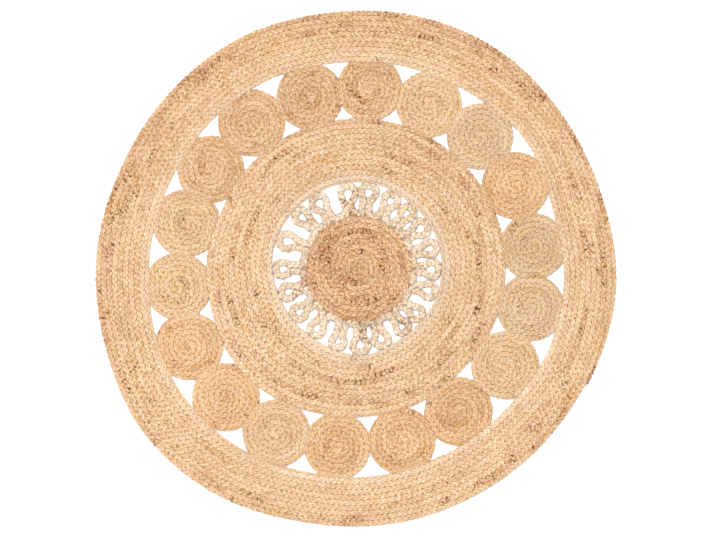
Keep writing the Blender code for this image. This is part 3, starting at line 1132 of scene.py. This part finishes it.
# bearing and distance of each small coil's middle, its radius before its neighbours flatten it,
# its jute, and how much deeper (-) or paler (+) that is at the middle and at the rim
coils = [
    (7.3, 413, 77.0, "greyish", -0.08, 0.01),
    (27.8, 416, 77.5, "golden", 0.02, 0.0),
    (47.1, 420, 76.5, "greyish", 0.0, 0.05),
    (66.3, 417, 76.5, "pale", -0.02, 0.0),
    (85.8, 420, 75.5, "tan", 0.01, 0.0),
    (105.1, 415, 77.0, "tan", -0.06, 0.01),
    (125.6, 418, 77.5, "tan", -0.02, 0.02),
    (145.6, 410, 77.5, "tan", 0.02, 0.0),
    (164.8, 408, 78.0, "pale", 0.0, -0.03),
    (185.4, 415, 77.5, "pale", -0.02, 0.03),
    (204.6, 427, 78.5, "golden", -0.03, 0.04),
    (224.4, 424, 78.5, "golden", 0.0, 0.04),
    (244.0, 423, 78.0, "pale", -0.04, 0.02),
    (263.9, 412, 77.0, "golden", -0.04, 0.02),
    (284.8, 411, 77.5, "golden", 0.04, 0.0),
    (305.6, 405, 79.0, "golden", -0.06, -0.02),
    (327.1, 410, 78.5, "pale", 0.0, -0.02),
    (347.6, 413, 77.5, "greyish", 0.03, 0.04),
]


def coilOutline(number):
    # the radius of a small coil at each bearing: round, but flat against what it is sewn to
    bearing, out, roundRadius = coils[number][:3]
    middle = polar(bearing, out)
    outward = polar(bearing, 1)
    toBand = middle.dot(outward) - (bandEdge @ outward).max() - smallCoil["apart"]
    walls = [(-outward, toBand)]
    for step in (-1, 1):
        otherBearing, otherOut, otherRadius = coils[(number + step) % len(coils)][:3]
        way = polar(otherBearing, otherOut) - middle
        distance = np.linalg.norm(way)
        walls.append((way / distance, (distance + roundRadius - otherRadius - smallCoil["apart"]) / 2))
    angles = np.arange(0, 360, smallCoil["outlineStep"])
    ways = polar(angles, 1)
    limits = [np.full(len(angles), roundRadius), reach(middle, ways, bandHole) - smallCoil["apart"]]
    for facing, depth in walls:
        lean = ways @ facing
        limit = depth / np.maximum(lean, smallCoil["facing"])
        limits.append(np.where(lean > smallCoil["facing"], limit, np.inf))
    radii = np.min(limits, axis=0)
    return middle, closedCurve(angles, soften(radii[:, None], smallCoil["rounding"], closed=True)[:, 0])


coilJute = {kind: spunJute(kind + "CoilJute", jute) for kind, jute in smallCoil["jute"].items()}


def layCoil(number):
    bearing, out, roundRadius, kind, middleTone, rimTone = coils[number]
    label = f"{number + 1:02d}"
    middle, outline = coilOutline(number)
    start = bearing + smallCoil["endsApart"] * number
    winding = middle, start, coilRadius(outline, roundRadius, smallCoil["rows"])
    seed = smallCoil["seed"] + smallCoil["seedStep"] * number

    def sewnShare(bearing):
        # 1 where the coil is flat against a neighbour and 0 where its rim is free
        return np.clip(smallCoil["flatness"] * (roundRadius - outline(bearing)), 0, 1)

    def coilRim(bearing):
        return ground["meeting"] * sewnShare(bearing) - smallCoil["outward"]

    def coilEnd(turn):
        return smallCoil["rows"] + 0 * turn

    def bearingsOf(points):
        return start - 360 / points * np.arange(points)

    line = lineFor(winding, coilEnd, smallCoil, tuckOut=coilRim)
    rim = rimOf(winding, coilEnd, 0, smallCoil["rimPoints"])
    free = sewnShare(bearingsOf(smallCoil["rimPoints"])) < 0.5
    count = int(free.sum() / smallCoil["pointsToFibre"])
    loose = looseFibres(rim[free], leftOf(rim)[free], seed + smallCoil["fibreSeed"], count)
    look = {"tone": {0: middleTone, smallCoil["rimTone"]: rimTone}, **smallCoil["look"]}
    strands = [makePlait("coilPlait" + label, line, eachStrand, seed, look, loose=loose)]
    inset = (ground["meeting"] - ground["inset"]) * sewnShare(bearingsOf(smallCoil["groundPoints"]))
    outside = rimOf(winding, coilEnd, ground["inset"] + inset, smallCoil["groundPoints"])
    under = makeGround("coilGround" + label, outside)
    layPiece("coil_" + label, strands, under, coilJute[kind])


for number in range(len(coils)):
    layCoil(number)
print("small coils laid:", len(coils))


studio = {
    "floorHalf": 40.0,  # metres
    "paint": "#f7f7f7",
    "paintRoughness": 0.9,
    "paintSpecular": 0.1,
    "skyStrength": 1.03,
    "softboxStrength": 325.0,
    "softboxSide": 3.0,
    "softboxAt": (-1.5, 1.8, 7.0),
}

half = studio["floorHalf"]
floorCorners = [(-half, -half, 0), (half, -half, 0), (half, half, 0), (-half, half, 0)]
floor = addPiece("studioFloor", floorCorners, [(0, 1, 2, 3)])
paint = bpy.data.materials.new("whiteFloorPaint")  # rolled matt paint: no gloss and no grain
paint.use_nodes = True
paintShader = paint.node_tree.nodes["Principled BSDF"]
paintShader.inputs["Base Color"].default_value = linear(studio["paint"])
paintShader.inputs["Roughness"].default_value = studio["paintRoughness"]
paintShader.inputs["Specular IOR Level"].default_value = studio["paintSpecular"]
floor.data.materials.append(paint)

sky = bpy.data.worlds.new("softSky")
sky.use_nodes = True
sky.node_tree.nodes["Background"].inputs[0].default_value = (1, 1, 1, 1)
sky.node_tree.nodes["Background"].inputs[1].default_value = studio["skyStrength"]
scene.world = sky
softbox = bpy.data.lights.new("softbox", "AREA")
softbox.energy = studio["softboxStrength"]
softbox.size = studio["softboxSide"]
softboxObject = bpy.data.objects.new("softbox", softbox)
softboxObject.location = studio["softboxAt"]
softboxObject.rotation_euler = softboxObject.location.to_track_quat("Z", "Y").to_euler()
scene.collection.objects.link(softboxObject)
scene.view_settings.view_transform = "Standard"
print("studio ready")

meshes = [piece.data for piece in scene.objects if piece.type == "MESH"]
triangles = [sum(len(face.vertices) - 2 for face in mesh.polygons) for mesh in meshes]
print("triangles:", sum(triangles), "in all,", max(triangles), "in the largest piece")
